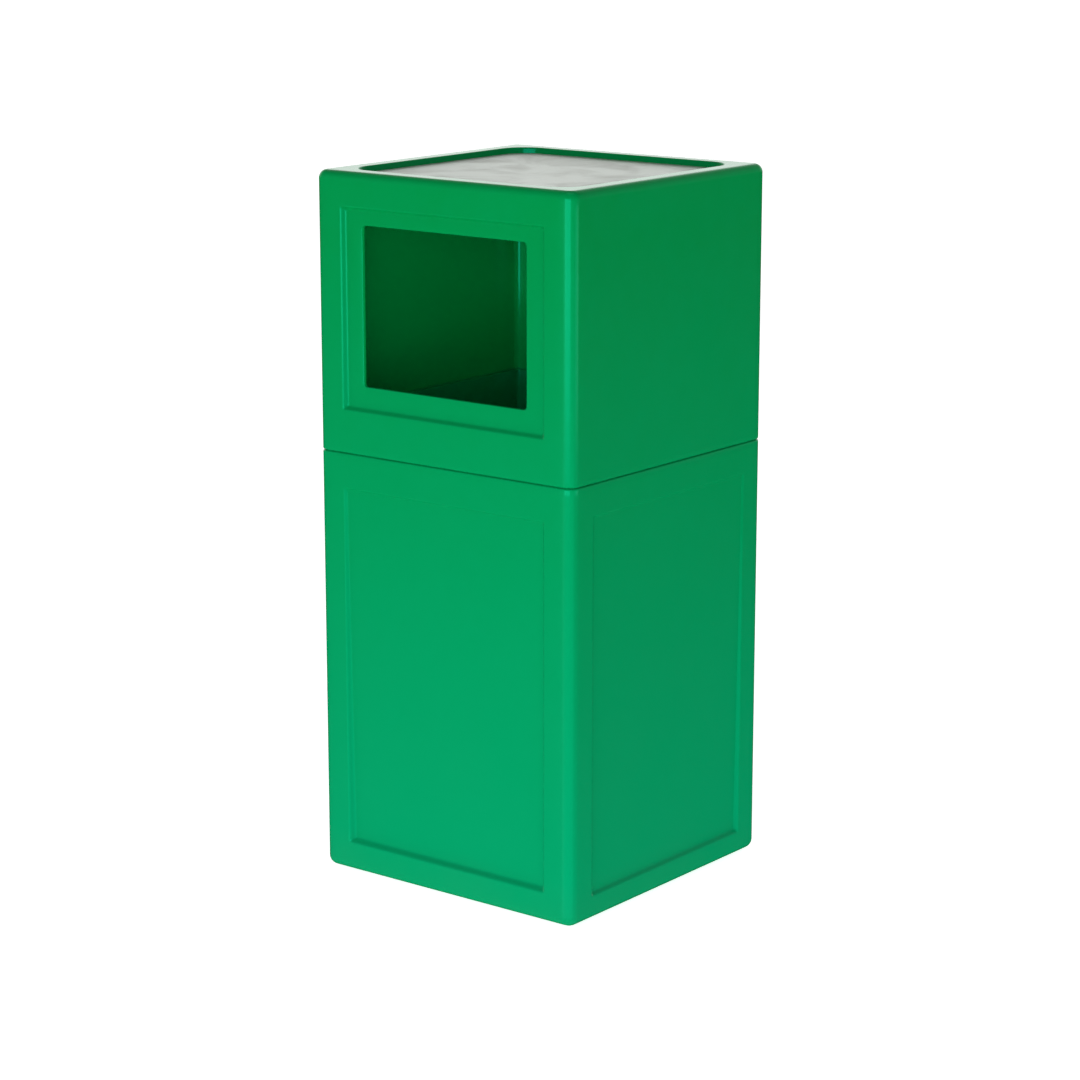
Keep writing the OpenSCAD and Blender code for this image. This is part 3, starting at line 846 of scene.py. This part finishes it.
def cast_iron():
    """Painted sand casting: a pitted skin with rust on its edges."""
    m = Nodes("sand_cast_iron", Metallic=0.25)
    skin = m.noise(260.0, 6.0, 0.7)
    pits = m.spread(m.cells(420.0, output="Distance"), 0.0, 0.5)
    rust = m.maths("MULTIPLY", m.worn_edge(0.505, 0.55), m.spread(m.noise(40.0, 5.0, 0.7), 0.4, 0.65))
    colour = m.mix(m.spread(skin, 0.3, 0.7), (0.045, 0.046, 0.05), (0.085, 0.086, 0.09))
    colour = m.mix(rust, colour, (0.20, 0.075, 0.03))
    rough = m.maths("ADD", m.spread(skin, 0.3, 0.7, 0.55, 0.75), m.maths("MULTIPLY", rust, 0.15))
    m.bump([(skin, 0.6, 0.0006), (pits, 0.3, 0.0002)])
    return m.finish(colour, rough)


def matt_plastic():
    """Black matt plastic with a fine eroded grain."""
    m = Nodes("grained_black_plastic", Specular_IOR_Level=0.4)
    grain = m.cells(1400.0, output="Distance")
    patch = m.spread(m.noise(50.0, 4.0, 0.6), 0.35, 0.7)
    colour = m.mix(patch, (0.014, 0.014, 0.015), (0.03, 0.03, 0.031))
    colour = m.mix(m.maths("MULTIPLY", m.worn_edge(), 0.35), colour, (0.08, 0.08, 0.08))
    rough = m.spread(patch, 0.0, 1.0, 0.45, 0.6)
    m.bump([(m.spread(grain, 0.0, 0.6), 0.25, 0.00008), (m.noise(60.0, 3.0), 0.15, 0.0002)])
    return m.finish(colour, rough)


def floor_finish():
    """Pale matt studio floor, lit a little from below."""
    m = Nodes("pale_floor", Emission_Strength=0.8)
    colour = m.mix(m.spread(m.noise(1.5, 3.0), 0.3, 0.7), (0.87, 0.87, 0.87), (0.89, 0.89, 0.89))
    rough = m.spread(m.noise(9.0, 4.0), 0.3, 0.7, 0.75, 0.9)
    m.bump([(m.noise(300.0, 2.0), 0.05, 0.0002)])
    return m.finish(colour, rough)


# ---- pieces ----

green = green_plastic()
steel = satin_steel()
zinc_sheet = galvanised()
grip_black = matt_plastic()

make_mesh("body_moulding", body_moulding(), green, "base", ["body_shell"])
make_mesh("hood_moulding", hood_moulding(), green, "hood", ["hood_shell"])
make_mesh("stub_plate_sheet", stub_plate_sheet(), steel, "plate", ["stub_plate"])
make_mesh("liner_sheet", liner_sheet(), zinc_sheet, "liner", ["liner_bucket"])
make_mesh("grip_handle", grip_handle(), grip_black, "bail", ["bail_grip"])

plated = zinc_plated("zinc_plated_screw")
rivet_finish = zinc_plated("plated_rivet", (0.56, 0.57, 0.58))
wire_finish = drawn_wire()
rubber_finish = rubber()
KEPT = {
    "ballast_plate": (cast_iron(), 0.8), "ballast_screws": (plated, 0.3), "ballast_washers": (plated, 0.2),
    "foot_front_left": (rubber_finish, 0), "foot_front_right": (rubber_finish, 0),
    "foot_rear_left": (rubber_finish, 0), "foot_rear_right": (rubber_finish, 0),
    "foot_screws": (plated, 0.2), "seat_pads": (rubber_finish, 0.5), "liner_rim_wire": (wire_finish, 0),
    "liner_ear_left": (zinc_sheet, 0.3), "liner_ear_right": (zinc_sheet, 0.3),
    "liner_rivets": (rivet_finish, 0.5), "bail_wire": (wire_finish, 0.3),
}
for node, (material, bevel) in KEPT.items():
    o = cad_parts[node]
    for s in o.material_slots:
        s.material = material
    weld = o.modifiers.new("weld", "WELD")
    weld.merge_threshold = 0.00001
    if bevel:
        rounding = o.modifiers.new("rounding", "BEVEL")
        rounding.width = bevel * MM
        rounding.segments = 2
        rounding.limit_method = "ANGLE"
        rounding.angle_limit = math.radians(40)
        rounding.harden_normals = True


# ---- floor, light and camera ----

MIDDLE = 0.36                       # half the height of the bin, in metres


def make_floor():
    """A level floor, wide enough to reach past the picture, that stays out of reflections."""
    me = bpy.data.meshes.new("studio_floor")
    size = 60.0
    me.from_pydata([(-size, -size, 0), (size, -size, 0), (size, size, 0), (-size, size, 0)], [],
                   [(0, 1, 2, 3)])
    o = bpy.data.objects.new("studio_floor", me)
    o.visible_glossy = False
    bpy.context.collection.objects.link(o)
    me.materials.append(floor_finish())


def soft_box(name, azimuth, elevation, distance, wide, tall, watts, height=MIDDLE):
    """Area light that stands the given way and distance from the bin's axis and looks back at it."""
    back = direction(azimuth, elevation)
    data = bpy.data.lights.new(name, "AREA")
    data.shape = "RECTANGLE"
    data.size = wide
    data.size_y = tall
    data.energy = watts
    o = bpy.data.objects.new(name, data)
    bpy.context.collection.objects.link(o)
    o.location = Vector((0, 0, height)) + back * distance
    o.rotation_euler = (-back).to_track_quat("-Z", "Y").to_euler()


def make_world():
    """White surroundings for the camera, and shaded ones for light and reflections.

    As light they are bright at the horizon and dim overhead. As reflections they are a white band
    low in the rear left, a bright patch low in front of the near corner and a soft one overhead, dim
    elsewhere."""
    world = bpy.data.worlds.new("studio")
    bpy.context.scene.world = world
    world.use_nodes = True
    tree = world.node_tree
    place = tree.nodes.new("ShaderNodeTexCoord").outputs["Generated"]

    def along(way):
        n = tree.nodes.new("ShaderNodeVectorMath")
        n.operation = "DOT_PRODUCT"
        tree.links.new(place, n.inputs[0])
        n.inputs[1].default_value = way
        return n.outputs["Value"]

    def ramp(value, lo, hi, to_lo, to_hi):
        n = tree.nodes.new("ShaderNodeMapRange")
        for key, v in (("From Min", lo), ("From Max", hi), ("To Min", to_lo), ("To Max", to_hi)):
            n.inputs[key].default_value = v
        tree.links.new(value, n.inputs["Value"])
        return n.outputs["Result"]

    def maths(operation, a, b):
        n = tree.nodes.new("ShaderNodeMath")
        n.operation = operation
        tree.links.new(a, n.inputs[0])
        tree.links.new(b, n.inputs[1])
        return n.outputs[0]

    def background(strength):
        n = tree.nodes.new("ShaderNodeBackground")
        tree.links.new(strength, n.inputs["Strength"])
        return n

    up = along((0.0, 0.0, 1.0))
    above = ramp(up, -0.02, 0.02, 0.0, 1.0)
    under = ramp(up, -0.02, 0.02, 1.0, 0.0)
    front = ramp(along(direction(24, 0)), 0.52, 0.62, 0.0, 1.0)
    patch = maths("MULTIPLY", maths("MULTIPLY", front, under), ramp(up, -0.5, -0.4, 0.0, 1.1))
    rear = ramp(along((-0.62, 0.78, 0.0)), 0.35, 0.75, 0.15, 1.35)
    band = maths("MULTIPLY", maths("MULTIPLY", rear, above), ramp(up, 0.35, 0.55, 1.0, 0.25))
    overhead = ramp(up, 0.88, 0.97, 0.0, 0.7)
    reflected = maths("ADD", maths("ADD", patch, band), overhead)
    light = ramp(up, 0.0, 0.9, 1.1, 0.2)
    seen = tree.nodes["Background"]
    seen.inputs["Color"].default_value = (1.0, 1.0, 1.0, 1.0)
    last = seen.outputs[0]
    for ray, shade in (("Is Glossy Ray", background(reflected)), ("Is Diffuse Ray", background(light))):
        path = tree.nodes.new("ShaderNodeLightPath")
        mixed = tree.nodes.new("ShaderNodeMixShader")
        tree.links.new(path.outputs[ray], mixed.inputs[0])
        tree.links.new(last, mixed.inputs[1])
        tree.links.new(shade.outputs[0], mixed.inputs[2])
        last = mixed.outputs[0]
    tree.links.new(last, tree.nodes["World Output"].inputs["Surface"])


def make_camera(azimuth, elevation, distance, target, lens):
    back = direction(azimuth, elevation)
    data = bpy.data.cameras.new("main_camera")
    data.lens = lens
    data.sensor_width = 36.0
    o = bpy.data.objects.new("main_camera", data)
    bpy.context.collection.objects.link(o)
    o.location = Vector(target) + back * distance
    o.rotation_euler = (-back).to_track_quat("-Z", "Y").to_euler()
    bpy.context.scene.camera = o


make_floor()
make_world()
soft_box("key_box", 15, 7, 2.6, 2.6, 1.3, 35)
soft_box("rim_box", -142, 16, 2.8, 1.2, 1.2, 1.0)
soft_box("side_box", 98, 0, 2.6, 1.6, 0.5, 4, height=0.27)
make_camera(38.0, 13.1, 3.12, (-0.0032, 0.0, 0.339), 102.0)
bpy.context.scene.view_settings.view_transform = "Standard"
